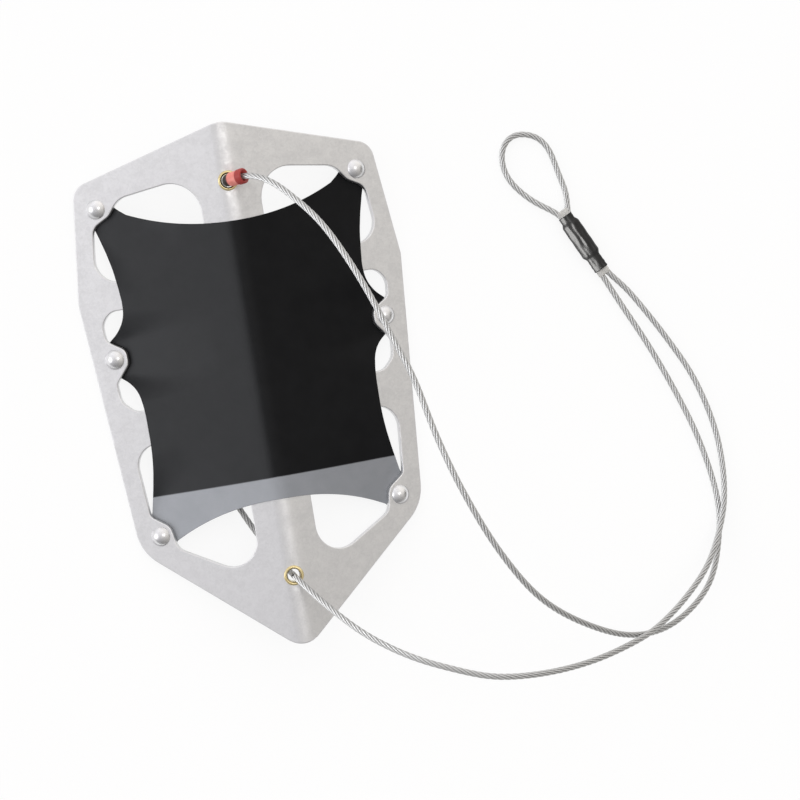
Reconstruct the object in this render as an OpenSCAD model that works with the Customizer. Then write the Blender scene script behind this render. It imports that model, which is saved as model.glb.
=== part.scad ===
// Snow fluke anchor: a folded plate with a stretched deck panel and a wire rope bridle.
// Millimetres. +Y runs along the crease to the stop end, +X to the bridle, +Z up.
// The plate lies ridge up on its lower side edges, which touch z = 0.

/* [Plate] */
// Thickness of the plate
plate_t = 3; // [2:0.1:4]
// Angle that each half falls below level
fold = 20; // [10:1:30]
// Outside radius of the bend along the crease
bend_r = 15; // [8:0.5:24]
// Sharp peak of the top edges on the crease
peak_y = 138; // [128:1:150]
// Half width of the flat sheet at the upper shoulder
shoulder_u = 84.7; // [78:0.1:92]
// Place of the upper shoulder along the crease
shoulder_y = 116.4; // [110:0.1:124]
// Half width of the flat sheet at its widest corner
kink_u = 92.5; // [88:0.1:100]
// Place of the widest corner along the crease
kink_y = 55.8; // [45:0.1:65]
// Half width of the flat sheet at the lower shoulder
low_u = 81.4; // [76:0.1:88]
// Place of the lower shoulder along the crease
low_y = -78.7; // [-90:0.1:-72]
// Sharp tip of the bottom edges on the crease
tip_y = -141.5; // [-155:0.5:-132]
// Rounding of the peak
peak_r = 20; // [5:1:40]
// Rounding of the upper shoulders
shoulder_r = 10; // [4:0.5:16]
// Rounding of the widest corners
kink_r = 6; // [2:0.5:20]
// Rounding of the lower shoulders
low_r = 24; // [8:1:32]
// Rounding of the tip
tip_r = 15; // [6:1:24]

/* [Windows] */
// Half width of the spine
spine_half = 17; // [12:0.5:22]
// Width of the side rails
rail_w = 10.2; // [8:0.1:13]
// Top corner of the upper windows at the spine
window_top_y = 112.6; // [108:0.1:118]
// Bottom corner of the lower windows at the spine
window_low_y = -101.3; // [-106:0.1:-95]
// Middle of the upper ribs
rib_up_y = 57.2; // [52:0.1:62]
// Width of the upper ribs
rib_up_w = 15; // [8:0.5:20]
// Middle of the lower ribs
rib_low_y = -13.5; // [-18:0.1:-8]
// Width of the lower ribs
rib_low_w = 18.6; // [10:0.1:24]
// Rounding of the upper windows beside the spine
window_top_r = 17; // [8:0.5:20]
// Rounding of the lower windows beside the spine
window_low_r = 14; // [6:0.5:18]
// Rounding of the other window corners
window_r = 12; // [4:0.5:14]
// Cut of the middle window corners beside the rails
corner_cut = 6; // [4:0.5:8]
// Reach of each tab round its rivet
tab_r = 7; // [6:0.1:8]

/* [Rivets] */
// Distance of the upper rivets from the side edge
rivet_up_in = 12.3; // [10:0.1:15]
// Place of the upper rivets along the crease
rivet_up_y = 103.7; // [100:0.1:106]
// Distance of the middle rivets from the side edge
rivet_mid_in = 12.4; // [10:0.1:15]
// Place of the middle rivets along the crease
rivet_mid_y = 24.5; // [20:0.1:29]
// Distance of the lower rivets from the side edge
rivet_low_in = 13; // [11:0.1:16]
// Place of the lower rivets along the crease
rivet_low_y = -71.5; // [-75:0.1:-68]
// Diameter of the rivet shank
rivet_d = 4.8; // [4:0.1:5.4]
// Diameter of the domed rivet head
rivet_head_d = 10.4; // [9:0.1:11]
// Height of the domed rivet head
rivet_head_h = 2.9; // [1.6:0.1:3.6]
// Diameter of the upset rivet tail
rivet_tail_d = 7; // [6.4:0.1:9]
// Height of the upset rivet tail
rivet_tail_h = 0.9; // [0.6:0.1:1.3]
// Diameter of the backing washers
washer_d = 10; // [9.2:0.1:12]
// Thickness of the backing washers
washer_t = 0.8; // [0.5:0.1:1.2]

/* [Deck panel] */
// Thickness of the panel
panel_t = 0.8; // [0.5:0.1:1.2]
// Top edge of the panel at the crease
panel_top_y = 86.3; // [80:0.1:90]
// Radius of the hollow top edge
panel_top_r = 148; // [120:1:200]
// Bottom edge of the panel at the crease
panel_low_y = -60.2; // [-64:0.1:-54]
// Radius of the hollow bottom edge
panel_low_r = 131; // [110:1:200]
// Half width of the panel at its upper waist
waist_up_u = 67.2; // [62:0.1:69]
// Place of the upper waist along the crease
waist_up_y = 46; // [44:0.1:52]
// Half width of the panel at its lower waist
waist_low_u = 65.2; // [60:0.1:66.5]
// Run over which the panel drops behind a tab
drop_run = 5; // [4:0.1:7]

/* [Grommets] */
// Distance of the upper grommet from the peak
grommet_up_in = 31; // [26:0.5:36]
// Distance of the lower grommet from the tip
grommet_low_in = 40.5; // [36:0.5:45]
// Radius of the grommet bore
eyelet_bore_r = 3.3; // [2.6:0.1:3.8]
// Wall of the eyelet barrel
eyelet_wall = 0.5; // [0.4:0.1:0.8]
// Radius of the rolled rim
rim_r = 0.9; // [0.7:0.1:1.2]
// Radius of the roll on the back
back_roll_r = 0.7; // [0.5:0.1:0.9]
// Radius of the grommet washer
eyelet_washer_r = 5.6; // [5:0.1:6.4]
// Thickness of the grommet washer
eyelet_washer_t = 0.8; // [0.5:0.1:1.2]
// Depth of the flat seat pressed into the ridge
seat_cut = 0.9; // [0.9:0.1:1.5]

/* [Stop sleeve] */
// Radius of the barrel and of its round end
stop_r = 3.5; // [3.2:0.1:4]
// Radius of the collar
collar_r = 4; // [3.8:0.1:4.8]
// Distance of the middle of the round end from the pivot
stop_from = 2.2; // [1:0.1:3]
// Length from the pivot to the mouth
stop_len = 10.5; // [9:0.5:14]
// Length of the collar
collar_len = 3.8; // [3:0.1:5]
// Angle of the stop above level
stop_rise = 38; // [36:1:50]
// Turn of the stop from square to the crease
stop_turn = 5; // [0:1:15]

/* [Wire rope] */
// Diameter of the wire rope
rope_d = 3.2; // [2.8:0.1:3.3]

/* [Swaged joint] */
// Length of the heat-shrink cover
cover_len = 35; // [32:0.5:40]
// Wall of the heat-shrink cover
cover_wall = 0.4; // [0.3:0.05:0.8]
// Length of the swaged sleeve
swage_len = 19; // [15:0.5:21]
// Wall of the swaged sleeve round its strands
swage_wall = 1.3; // [0.6:0.05:1.5]
// Wall of the liner round the strands
liner_wall = 0.3; // [0.2:0.05:0.5]
// Length of liner that shows at each end
liner_show = 2.4; // [0.5:0.1:3]
// Spacing of the two strands in the joint
strand_gap = 3.4; // [3.4:0.1:3.8]

/* [Hidden] */
// Clearance between pieces that rest on each other
seat = 0.05;
// Clearance between the two bodies at the pivots
pivot_gap = 0.3;
// Extra reach of every cutting tool
cut = 1;
facets = 48;
bend_steps = 12;
corner_steps = 6;
arc_steps = 10;
tube_sides = 8;
oval_sides = 24;

// Places that follow the outline of the sheet.
rivet_up_u = side_u(rivet_up_y) - rivet_up_in;
rivet_mid_u = side_u(rivet_mid_y) - rivet_mid_in;
rivet_low_u = side_u(rivet_low_y) - rivet_low_in;
grommet_up_y = peak_y - grommet_up_in;
grommet_low_y = tip_y + grommet_low_in;

// Rest on the floor: the lower side edges are level and touch z = 0.
pitch = atan((kink_u - low_u) * sin(fold) / (kink_y - low_y));
edge_drop = kink_u * sin(fold) + plate_t * cos(fold);
base_z = edge_drop * cos(pitch) - kink_y * sin(pitch);

// The bend: its axis lies under the sharp crease, which is z = 0 of the plate.
bend_z = -bend_r / cos(fold);
ridge_z = bend_z + bend_r;
seat_z = ridge_z - seat_cut;
back_z = ridge_z - plate_t;

// Levels on each half, along its normal from the front face.
low_top = -plate_t - seat;
low_back = low_top - panel_t;
washer_back = low_back - seat - washer_t;
tail_top = washer_back - seat;

// Grommet sizes that follow from the bore.
barrel_r = eyelet_bore_r + eyelet_wall;
rim_ring = eyelet_bore_r + rim_r + 0.15;
rim_z = seat_z + seat + rim_r;
flange_r = rim_ring + rim_r;
seat_r = max(flange_r, eyelet_washer_r) + 0.3;

// The stop turns about the middle of the grommet, and its barrel clears the rolled rim.
pivot_room = stop_r + rim_r + 2 * seat - rim_ring * sin(stop_rise);
pivot_z = rim_z + pivot_room / cos(stop_rise);
pivot_up = place([0, grommet_up_y, pivot_z]);
pivot_low = place([0, grommet_low_y, pivot_z]);
stop_dir = [cos(stop_rise) * cos(stop_turn), cos(stop_rise) * sin(stop_turn), sin(stop_rise)];

// Wire rope and the bores that hold it.
rope_r = rope_d / 2;
bore_r = rope_r + seat;
strand_off = strand_gap / 2;

// Swaged joint: where it lies, which way its legs leave, and its half sizes.
joint_xy = [186, 46.5];
joint_turn = -64;
joint_axis = [cos(joint_turn), sin(joint_turn), 0];
joint_side = [-sin(joint_turn), cos(joint_turn), 0];
swage_mid = -2;
swage_w = strand_off + bore_r + swage_wall;
swage_h = bore_r + swage_wall;
liner_w = strand_off + bore_r + liner_wall;
liner_h = bore_r + liner_wall;
cover_w = swage_w + seat + cover_wall;
cover_h = swage_h + seat + cover_wall;
neck_w = liner_w + seat + cover_wall;
neck_h = liner_h + seat + cover_wall;
joint_z = cover_h + 2 * seat;
joint_mid = [joint_xy[0], joint_xy[1], joint_z];
cover_half = cover_len / 2;
swage_from = swage_mid - swage_len / 2;
swage_to = swage_mid + swage_len / 2;
neck_run = 2.2;

// Routes of the wire rope, chosen by hand.
upper_route = [
    [20, 102, 55.5], [30, 91, 64], [40, 77, 72], [49, 58, 79.5], [57, 37, 85],
    [65, 12, 89.5], [71, -7, 92], [77, -36, 94], [85, -64, 94], [100, -100, 89],
    [118, -128, 80], [142, -148, 65.5], [171, -162, 46], [196, -162, 31.5],
    [223, -147, 14.5], [236, -121, 3], [238, -104, 1.8], [233, -71, 1.8],
    [224, -42, 1.8], [212, -12, 2], [203, 7, 2.3], [196, 22, 2.8]];
lower_route = [
    [13, -117, 46], [28, -132.5, 57], [40.5, -142, 63.5], [53, -149.5, 68.5],
    [68, -156.5, 71.5], [87, -164, 73], [103, -167, 72.5], [124, -168.5, 68.5],
    [146, -168, 60.5], [167, -165, 51.5], [180, -162, 45], [192, -157, 38],
    [206, -149.5, 28.5], [222, -137.5, 18], [232, -124.5, 10.5], [241, -105, 4.5],
    [243.5, -72.5, 1.8], [236, -38, 1.8], [224.5, -13.5, 1.9], [214, 5, 2.1],
    [204, 20.5, 2.6]];
eye_route = [
    [161, 74.3, 1.8], [151.3, 86.7, 1.8], [149.3, 97, 1.8], [152, 105.5, 1.8],
    [158, 109.5, 1.8], [164.5, 109, 1.8], [171, 106, 1.8], [175.6, 99.5, 1.8],
    [177.6, 92, 1.8], [179.2, 84, 1.8], [181.2, 75, 2]];
back_route = [
    [0, 107, 26], [-3, 103, 19.5], [-9, 93, 12], [-18, 76, 6], [-28, 48, 2.4],
    [-34, 14, 1.8], [-35, -16, 1.8], [-30, -43, 3.5], [-21.5, -63, 6.5],
    [-15, -77, 9], [-8, -89, 12], [-3, -97.5, 16], [0, -101, 21]];

// A point of the plate's own frame, set down on the floor.
function place(p) = [
    p[0],
    p[1] * cos(pitch) - p[2] * sin(pitch),
    p[1] * sin(pitch) + p[2] * cos(pitch) + base_z];

function unit(v) = v / norm(v);

// A closed outline of [x, y, radius] corners, each rounded as far as its sides allow.
function corner(a, b, c) =
    let (
        p = [b[0], b[1]],
        d1 = unit([a[0], a[1]] - p),
        d2 = unit([c[0], c[1]] - p),
        half = acos(max(-1, min(1, d1 * d2))) / 2,
        room = 0.48 * min(norm([a[0], a[1]] - p), norm([c[0], c[1]] - p)),
        run = min(b[2] / tan(half), room),
        r = run * tan(half),
        mid = p + unit(d1 + d2) * (r / sin(half)),
        from = p + d1 * run - mid,
        turn = 180 - 2 * half,
        way = from[0] * d1[1] - from[1] * d1[0] > 0 ? -1 : 1)
    b[2] == 0 ? [p] : [for (i = [0 : corner_steps])
        let (s = way * turn * i / corner_steps)
        mid + [from[0] * cos(s) - from[1] * sin(s), from[0] * sin(s) + from[1] * cos(s)]];

function rounded(c) =
    let (n = len(c))
    [for (i = [0 : n - 1]) each corner(c[(i + n - 1) % n], c[i], c[(i + 1) % n])];

// Half width of the flat sheet, and of the inside of its rail, at a place along the crease.
function side_u(y) = y > kink_y
    ? kink_u + (shoulder_u - kink_u) * (y - kink_y) / (shoulder_y - kink_y)
    : kink_u + (low_u - kink_u) * (y - kink_y) / (low_y - kink_y);
function rail_u(y) = side_u(y) - rail_w;

// Flat outline of the whole sheet.
outline = [
    [0, peak_y, peak_r], [shoulder_u, shoulder_y, shoulder_r], [kink_u, kink_y, kink_r],
    [low_u, low_y, low_r], [0, tip_y, tip_r], [-low_u, low_y, low_r],
    [-kink_u, kink_y, kink_r], [-shoulder_u, shoulder_y, shoulder_r]];

// Windows of one half. Each tab is a step of its window's outline round the rivet.
rib_up_top = rib_up_y + rib_up_w / 2;
rib_up_end = rib_up_y - rib_up_w / 2;
rib_low_top = rib_low_y + rib_low_w / 2;
rib_low_end = rib_low_y - rib_low_w / 2;
tab_fillet = tab_r * 0.6;
nose_r = tab_r * 0.75;
upper_window = [
    [spine_half, window_top_y, window_top_r],
    [rivet_up_u - tab_r * 1.85, rivet_up_y + tab_r * 0.5, window_r],
    [rivet_up_u - tab_r * 0.88, rivet_up_y - tab_r * 0.68, tab_r],
    [rail_u(rivet_up_y - tab_r * 1.35), rivet_up_y - tab_r * 1.35, tab_r],
    [rail_u(rib_up_top), rib_up_top, window_r],
    [spine_half, rib_up_top, window_r]];
middle_window = [
    [spine_half, rib_up_end, window_r],
    [rail_u(rib_up_end) - corner_cut, rib_up_end, 8],
    [rail_u(rib_up_end - corner_cut), rib_up_end - corner_cut, 8],
    [rail_u(rivet_mid_y + tab_r * 1.43), rivet_mid_y + tab_r * 1.43, tab_fillet],
    [rivet_mid_u - tab_r, rivet_mid_y + tab_r * 0.6, nose_r],
    [rivet_mid_u - tab_r, rivet_mid_y - tab_r * 0.5, nose_r],
    [rail_u(rivet_mid_y - tab_r * 1.86), rivet_mid_y - tab_r * 1.86, tab_fillet],
    [rail_u(rib_low_top + corner_cut), rib_low_top + corner_cut, 8],
    [rail_u(rib_low_top) - corner_cut, rib_low_top, 8],
    [spine_half, rib_low_top, window_r]];
lower_window = [
    [spine_half, rib_low_end, window_r],
    [rail_u(rib_low_end), rib_low_end, window_r],
    [rail_u(rivet_low_y + tab_r * 1.57), rivet_low_y + tab_r * 1.57, tab_fillet],
    [rivet_low_u - tab_r * 0.89, rivet_low_y + tab_r * 0.64, tab_r],
    [rivet_low_u - tab_r * 1.2, rivet_low_y - tab_r * 1.1, tab_r],
    [spine_half, window_low_y, window_low_r]];

// Panel edges of one half: hollow arcs between the tabs, corners hidden behind them.
seam_u = -1.5;
top_end_u = rivet_up_u - 15;
low_end_u = rivet_low_u - 8;
function top_edge(u) = panel_top_y + panel_top_r - sqrt(panel_top_r * panel_top_r - u * u);
function low_edge(u) = panel_low_y - panel_low_r + sqrt(panel_low_r * panel_low_r - u * u);
// The inset e draws every edge in by that much.
function panel_outline(e) = concat(
    [[seam_u, panel_top_y - e, 0]],
    [for (i = [0 : arc_steps]) let (u = top_end_u * i / arc_steps) [u, top_edge(u) - e, 0]],
    [[rivet_up_u - 7.5, rivet_up_y + 1 - e, 0],
     [rivet_up_u - 4.5, rivet_up_y + 6 - e, 3], [rivet_up_u + 6 - e, rivet_up_y - 1.5, 4],
     [rivet_up_u + 3.4 - e, rivet_up_y - 10.6, 0],
     [rivet_up_u - 3.5 - e, rivet_up_y - 30.7, 60],
     [waist_up_u - e, waist_up_y, 14],
     [rivet_mid_u + 3 - e, rivet_mid_y + 8.8, 0],
     [rivet_mid_u + 6 - e, rivet_mid_y + 5.5, 3], [rivet_mid_u + 6 - e, rivet_mid_y - 5.5, 3],
     [rivet_mid_u + 2.6 - e, rivet_mid_y - 8.2, 0],
     [waist_low_u + 1 - e, rivet_mid_y - 20, 14],
     [waist_low_u - e, rib_low_y - 13.5, 40],
     [rivet_low_u + 3.4 - e, rivet_low_y + 13, 0],
     [rivet_low_u + 6.5 - e, rivet_low_y + 4, 4], [rivet_low_u + 1.5, rivet_low_y - 7 + e, 4],
     [rivet_low_u - 5.5, rivet_low_y - 6.5 + e, 3]],
    [for (i = [arc_steps : -1 : 0]) let (u = low_end_u * i / arc_steps) [u, low_edge(u) + e, 0]],
    [[seam_u, panel_low_y + e, 0]]);

// Each tab: its rivet, which way the panel leaves it, and how wide the panel drops there.
tab_upper = [rivet_up_u, rivet_up_y, 227.8, 30];
tab_middle = [rivet_mid_u, rivet_mid_y, 180, 19];
tab_lower = [rivet_low_u, rivet_low_y, 146.2, 30];
tabs = [tab_upper, tab_middle, tab_lower];
drop_from = tab_r * 1.2;
drop_to = drop_from + drop_run;
// The strips that drop behind the tabs are drawn in this much where they join the sheet.
lap = 0.1;

// Sets a piece of the plate's frame down on the floor.
module on_floor() {
    translate([0, 0, base_z]) rotate([pitch, 0, 0]) children();
}

// Sets a flat piece on one half: x is the distance from the crease, z the normal.
module on_half(side) {
    mirror([side < 0 ? 1 : 0, 0, 0]) rotate([0, fold, 0]) children();
}

// A folded sheet along the crease, with its front face a given height above the plate's.
module folded_sheet(top, t, from_y, to_y) {
    reach = kink_u + 3 * cut;
    outer = bend_r + top;
    leg = [reach * cos(fold), -reach * sin(fold)] + top * [sin(fold), cos(fold)];
    in_leg = leg - t * [sin(fold), cos(fold)];
    swing = [for (i = [0 : bend_steps]) fold * (2 * i / bend_steps - 1)];
    front = [for (a = swing) [outer * sin(a), bend_z + outer * cos(a)]];
    back = [for (a = swing) [-(outer - t) * sin(a), bend_z + (outer - t) * cos(a)]];
    profile = concat([[-leg[0], leg[1]]], front, [leg, in_leg], back, [[-in_leg[0], in_leg[1]]]);
    translate([0, to_y, 0]) rotate([90, 0, 0]) linear_extrude(to_y - from_y) polygon(profile);
}

// A cutting prism square to one half.
module half_prism(deep) {
    translate([0, 0, -deep]) linear_extrude(2 * deep) children();
}

module sheet_half() {
    difference() {
        intersection() {
            polygon(rounded(outline));
            translate([seam_u, tip_y]) square([kink_u + cut - seam_u, peak_y - tip_y]);
        }
        polygon(rounded(upper_window));
        polygon(rounded(middle_window));
        polygon(rounded(lower_window));
    }
}

module fluke_plate() {
    color("silver") on_floor() difference() {
        intersection() {
            folded_sheet(0, plate_t, tip_y - cut, peak_y + cut);
            union() {
                on_half(1) half_prism(4 * plate_t) sheet_half();
                on_half(-1) half_prism(4 * plate_t) sheet_half();
            }
        }
        for (side = [1, -1]) on_half(side) for (t = tabs) translate([t[0], t[1], -plate_t - cut])
            cylinder(r = rivet_d / 2 + seat, h = plate_t + 2 * cut, $fn = facets);
        for (y = [grommet_up_y, grommet_low_y]) {
            translate([0, y, back_z - plate_t])
                cylinder(r = barrel_r + seat, h = 3 * plate_t, $fn = facets);
            translate([0, y, seat_z]) cylinder(r = seat_r, h = plate_t, $fn = facets);
            translate([0, y, back_z - plate_t]) cylinder(r = seat_r, h = plate_t, $fn = facets);
        }
    }
}

// The panel drops along a straight strip towards a tab, then lies flat behind it.
module panel_drop(t) {
    high = seat + panel_t - lap;
    high_back = seat + lap;
    lean = panel_t * tan(atan((high - low_top) / drop_run) / 2);
    profile = [
        [-2 * tab_r, low_top], [drop_from, low_top], [drop_to, high], [drop_to + 2 * cut, high],
        [drop_to + 2 * cut, high_back], [drop_to + lean, high_back], [drop_from + lean, low_back],
        [-2 * tab_r, low_back]];
    intersection() {
        translate([t[0], t[1], 0]) rotate([0, 0, t[2]]) rotate([90, 0, 0])
            linear_extrude(2 * t[3], center = true) polygon(profile);
        half_prism(4 * plate_t) polygon(rounded(panel_outline(lap)));
    }
}

module panel_half() {
    difference() {
        polygon(rounded(panel_outline(0)));
        for (t = tabs) translate([t[0], t[1]]) rotate(t[2])
            translate([-3 * tab_r, -t[3] - 4 * seat])
                square([3 * tab_r + drop_to + cut, 2 * t[3] + 8 * seat]);
    }
}

module deck_panel() {
    color("dimgray") on_floor() difference() {
        union() {
            intersection() {
                folded_sheet(seat + panel_t, panel_t, low_y - cut, peak_y);
                union() {
                    on_half(1) half_prism(4 * plate_t) panel_half();
                    on_half(-1) half_prism(4 * plate_t) panel_half();
                }
            }
            for (side = [1, -1]) on_half(side) for (t = tabs) panel_drop(t);
        }
        for (side = [1, -1]) on_half(side) for (t = tabs) translate([t[0], t[1], low_back - cut])
            cylinder(r = rivet_d / 2 + seat, h = panel_t + cut + plate_t / 2, $fn = facets);
    }
}

// Domed head, shank and upset tail, in one piece.
module rivet(side, t) {
    dome_r = (rivet_head_d * rivet_head_d / 4 + rivet_head_h * rivet_head_h) / (2 * rivet_head_h);
    color("lightgray") on_floor() on_half(side) translate([t[0], t[1], 0]) {
        intersection() {
            translate([0, 0, rivet_head_h - dome_r]) sphere(r = dome_r, $fn = facets);
            translate([0, 0, seat]) cylinder(r = rivet_head_d, h = rivet_head_h, $fn = facets);
        }
        translate([0, 0, tail_top - seat])
            cylinder(r = rivet_d / 2, h = 3 * seat - tail_top, $fn = facets);
        translate([0, 0, tail_top - rivet_tail_h])
            cylinder(r = rivet_tail_d / 2, h = rivet_tail_h, $fn = facets);
    }
}

module backing_washer(side, t) {
    color("gainsboro") on_floor() on_half(side) translate([t[0], t[1], washer_back]) difference() {
        cylinder(r = washer_d / 2, h = washer_t, $fn = facets);
        translate([0, 0, -cut]) cylinder(r = rivet_d / 2 + seat, h = washer_t + 2 * cut, $fn = facets);
    }
}

// Eyelet: a barrel through the plate, rolled over on the front and on its washer.
module eyelet(y) {
    end_z = back_z - seat - eyelet_washer_t - seat;
    color("goldenrod") on_floor() translate([0, y, 0]) rotate_extrude($fn = facets) union() {
        translate([eyelet_bore_r, end_z - back_roll_r])
            square([eyelet_wall, rim_z - end_z + back_roll_r]);
        translate([rim_ring, rim_z]) circle(r = rim_r, $fn = facets);
        translate([eyelet_bore_r + back_roll_r, end_z - back_roll_r])
            circle(r = back_roll_r, $fn = facets);
    }
}

module eyelet_washer(y) {
    color("darkgoldenrod") on_floor() translate([0, y, back_z - seat - eyelet_washer_t])
        difference() {
            cylinder(r = eyelet_washer_r, h = eyelet_washer_t, $fn = facets);
            translate([0, 0, -cut])
                cylinder(r = barrel_r + seat, h = eyelet_washer_t + 2 * cut, $fn = facets);
        }
}

// Stop: a round end that rocks in the grommet, a barrel, and a collar with a flared mouth.
module stop_sleeve() {
    collar_from = stop_len - collar_len;
    mouth_r = collar_r - 0.9;
    mouth_deep = 2.5;
    chamfer = 0.6;
    profile = concat(
        [for (i = [0 : arc_steps]) let (a = 90 * i / arc_steps)
            [0, stop_from] + stop_r * [sin(a), -cos(a)]],
        [[stop_r, collar_from - chamfer], [collar_r, collar_from], [collar_r, stop_len - chamfer],
         [collar_r - chamfer / 2, stop_len], [mouth_r, stop_len],
         [bore_r, stop_len - mouth_deep], [bore_r, chamfer], [0, chamfer]]);
    color("firebrick") translate(pivot_up) rotate([0, 0, stop_turn]) rotate([0, 90 - stop_rise, 0])
        rotate_extrude($fn = facets) polygon(profile);
}

// A tube of rings along a route, closed at both ends. Rings stand square to the route.
function heading(p, i) = unit(p[min(i + 1, len(p) - 1)] - p[max(i - 1, 0)]);
module tube(p, radii, ref) {
    n = len(p);
    rings = [for (i = [0 : n - 1])
        let (t = heading(p, i), a = unit(cross(t, ref)), b = cross(t, a))
        for (k = [0 : tube_sides - 1])
            let (w = 360 * (k + 0.5) / tube_sides) p[i] + radii[i] * (a * cos(w) + b * sin(w))];
    last = (n - 1) * tube_sides;
    walls = [for (i = [0 : n - 2]) for (k = [0 : tube_sides - 1])
        let (a = i * tube_sides + k, b = i * tube_sides + (k + 1) % tube_sides)
        each [[a, a + tube_sides, b + tube_sides], [a, b + tube_sides, b]]];
    caps = [for (k = [1 : tube_sides - 2])
        each [[0, k, k + 1], [last, last + k + 1, last + k]]];
    polyhedron(points = rings, faces = concat(walls, caps), convexity = 6);
}

function even(p) = [for (q = p) rope_r];
function joint_point(along, across) = joint_mid + along * joint_axis + across * joint_side;

up_ref = [0, 0, 1];
side_ref = [1, 0, 0];
butt = seat;
show_to = cover_half + liner_show + 1;

module cable_upper_leg() {
    route = concat(
        [pivot_up + 0.7 * stop_dir, pivot_up + (stop_len + cut) * stop_dir],
        upper_route,
        [joint_point(show_to, -strand_off), joint_point(swage_mid + butt, -strand_off)]);
    color("darkgray") tube(route, even(route), up_ref);
}

// The lower leg starts in a round end that turns in the mouth of the grommet.
module cable_lower_leg() {
    start = unit(lower_route[0] - pivot_low);
    end_caps = [[-0.94, 0.34], [-0.7, 0.71], [0, 1]];
    route = concat(
        [for (c = end_caps) pivot_low + c[0] * rope_r * start],
        lower_route,
        [joint_point(show_to, strand_off), joint_point(swage_mid + butt, strand_off)]);
    radii = concat([for (c = end_caps) c[1] * rope_r], even(lower_route), [rope_r, rope_r]);
    color("darkgray") tube(route, radii, up_ref);
}

module cable_eye() {
    route = concat(
        [joint_point(swage_mid - butt, -strand_off), joint_point(-show_to, -strand_off)],
        eye_route,
        [joint_point(-show_to, strand_off), joint_point(swage_mid - butt, strand_off)]);
    color("darkgray") tube(route, even(route), up_ref);
}

module cable_back_run() {
    route = concat(
        [pivot_up - [0, 0, stop_r + pivot_gap]],
        back_route,
        [pivot_low - [0, 0, rope_r + pivot_gap]]);
    color("darkgray") tube(route, even(route), side_ref);
}

module in_joint() {
    translate(joint_mid) rotate([0, 0, joint_turn]) rotate([0, 90, 0]) children();
}

// Outline of two strands side by side, with a wall round them.
module strand_oval(w, h) {
    half = w - h;
    translate([0, -half]) circle(r = h, $fn = facets);
    translate([0, half]) circle(r = h, $fn = facets);
    square([2 * h, 2 * half], center = true);
}

module strand_bores() {
    for (s = [1, -1]) translate([0, s * strand_off, -cover_len])
        cylinder(r = bore_r, h = 2 * cover_len, $fn = facets);
}

module swage_sleeve() {
    color("lightsteelblue") in_joint() difference() {
        translate([0, 0, swage_from]) linear_extrude(swage_len) strand_oval(swage_w, swage_h);
        strand_bores();
    }
}

// The liner fills both necks of the cover, from the swaged sleeve to past its ends.
module shrink_liner() {
    color("wheat") in_joint() difference() {
        union() {
            translate([0, 0, -cover_half - liner_show])
                linear_extrude(swage_from - seat + cover_half + liner_show)
                    strand_oval(liner_w, liner_h);
            translate([0, 0, swage_to + seat])
                linear_extrude(cover_half + liner_show - swage_to - seat)
                    strand_oval(liner_w, liner_h);
        }
        strand_bores();
    }
}

// Heat-shrink cover: necks on the strands, swollen over the swaged sleeve.
module shrink_cover() {
    stations = [
        [-cover_half, neck_w, neck_h], [swage_from - neck_run, neck_w, neck_h],
        [swage_from, cover_w, cover_h], [swage_to, cover_w, cover_h],
        [swage_to + neck_run, neck_w, neck_h], [cover_half, neck_w, neck_h]];
    n = len(stations);
    rings = [for (s = stations) for (k = [0 : oval_sides - 1])
        let (a = 360 * (k + 0.5) / oval_sides, flat = s[1] - s[2])
        [s[2] * cos(a) / cos(180 / oval_sides),
         s[2] * sin(a) / cos(180 / oval_sides) + (sin(a) > 0 ? flat : -flat), s[0]]];
    last = (n - 1) * oval_sides;
    walls = [for (i = [0 : n - 2]) for (k = [0 : oval_sides - 1])
        let (a = i * oval_sides + k, b = i * oval_sides + (k + 1) % oval_sides)
        each [[a, a + oval_sides, b + oval_sides], [a, b + oval_sides, b]]];
    caps = [for (k = [1 : oval_sides - 2])
        each [[0, k, k + 1], [last, last + k + 1, last + k]]];
    color("black") in_joint() difference() {
        polyhedron(points = rings, faces = concat(walls, caps), convexity = 4);
        translate([0, 0, swage_from - seat]) linear_extrude(swage_len + 2 * seat)
            strand_oval(swage_w + seat, swage_h + seat);
        translate([0, 0, -cover_len]) linear_extrude(2 * cover_len)
            strand_oval(liner_w + seat, liner_h + seat);
    }
}

fluke_plate();
deck_panel();
rivet(-1, tab_upper);  // rivet_left_upper
rivet(-1, tab_middle);  // rivet_left_middle
rivet(-1, tab_lower);  // rivet_left_lower
rivet(1, tab_upper);  // rivet_right_upper
rivet(1, tab_middle);  // rivet_right_middle
rivet(1, tab_lower);  // rivet_right_lower
backing_washer(-1, tab_upper);  // washer_left_upper
backing_washer(-1, tab_middle);  // washer_left_middle
backing_washer(-1, tab_lower);  // washer_left_lower
backing_washer(1, tab_upper);  // washer_right_upper
backing_washer(1, tab_middle);  // washer_right_middle
backing_washer(1, tab_lower);  // washer_right_lower
eyelet(grommet_up_y);  // grommet_upper
eyelet_washer(grommet_up_y);  // grommet_upper_washer
eyelet(grommet_low_y);  // grommet_lower
eyelet_washer(grommet_low_y);  // grommet_lower_washer
stop_sleeve();
cable_upper_leg();
cable_lower_leg();
cable_eye();
cable_back_run();
swage_sleeve();
shrink_liner();
shrink_cover();
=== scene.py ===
import math

import bmesh
import bpy
from mathutils import Matrix, Vector
from mathutils.geometry import delaunay_2d_cdt


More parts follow.
